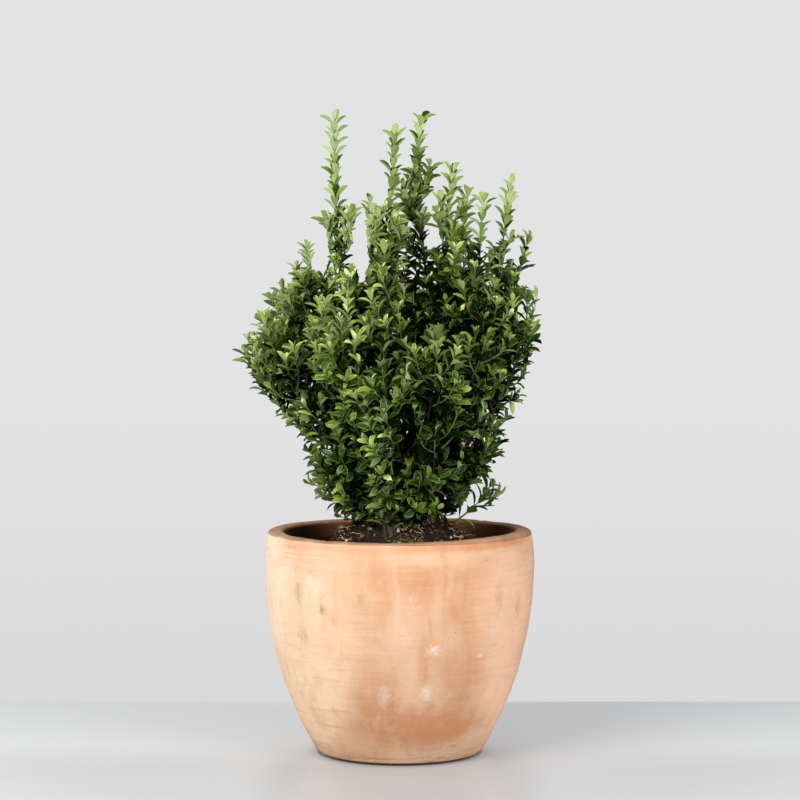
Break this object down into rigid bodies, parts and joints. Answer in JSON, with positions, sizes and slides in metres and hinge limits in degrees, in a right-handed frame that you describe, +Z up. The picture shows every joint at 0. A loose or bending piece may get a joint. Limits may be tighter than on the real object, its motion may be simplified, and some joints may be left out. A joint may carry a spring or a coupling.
{
  "type": "potted japanese euonymus",
  "caption": "Small upright evergreen shrub with glossy oval leaves, growing from a moss-flecked root ball in a round-bellied clay pot with a thick lip.",
  "frame": {"origin": "centre of the pot's flat underside, where it stands on the floor", "axes": "+Z up; +X to the right of the shrub's fuller, taller side; +Y away from that side, towards its back"},
  "size_m": [0.3647, 0.3287, 0.7712],
  "materials": {
    "terracotta": "matte fired clay, unglazed, with a pale bloom",
    "compost": "rough dark moist compost",
    "bark": "rough grey-brown bark on the stems and boughs",
    "leaf": "glossy leathery evergreen leaves, paler underneath"
  },
  "bodies": {
    "root": {"bough_back_left": "bark", "bough_back_middle": "bark", "bough_back_right": "bark", "bough_front_centre": "bark", "bough_front_high": "bark", "bough_front_left": "bark", "bough_front_outer": "bark", "bough_front_right": "bark", "bough_left_low": "bark", "bough_left_mid": "bark", "bough_left_outer": "bark", "bough_left_spire": "bark", "bough_middle_left": "bark", "bough_middle_right": "bark", "bough_right_inner": "bark", "bough_right_lean": "bark", "bough_right_low": "bark", "bough_right_tall": "bark", "bough_summit": "bark", "bough_tall_left": "bark", "bough_tall_middle": "bark", "bough_tall_right": "bark", "foliage_back_left": "leaf", "foliage_back_middle": "leaf", "foliage_back_right": "leaf", "foliage_front_centre": "leaf", "foliage_front_high": "leaf", "foliage_front_left": "leaf", "foliage_front_outer": "leaf", "foliage_front_right": "leaf", "foliage_left_low": "leaf", "foliage_left_mid": "leaf", "foliage_left_outer": "leaf", "foliage_left_spire": "leaf", "foliage_middle_left": "leaf", "foliage_middle_right": "leaf", "foliage_right_inner": "leaf", "foliage_right_lean": "leaf", "foliage_right_low": "leaf", "foliage_right_tall": "leaf", "foliage_skirt_1": "leaf", "foliage_skirt_2": "leaf", "foliage_skirt_3": "leaf", "foliage_skirt_4": "leaf", "foliage_skirt_5": "leaf", "foliage_skirt_6": "leaf", "foliage_skirt_7": "leaf", "foliage_skirt_8": "leaf", "foliage_skirt_9": "leaf", "foliage_summit": "leaf", "foliage_tall_left": "leaf", "foliage_tall_middle": "leaf", "foliage_tall_right": "leaf", "pot": "terracotta", "soil": "compost", "stem_back_left": "bark", "stem_back_right": "bark", "stem_front": "bark", "stem_left": "bark", "stem_right": "bark"}
  },
  "joints": []
}
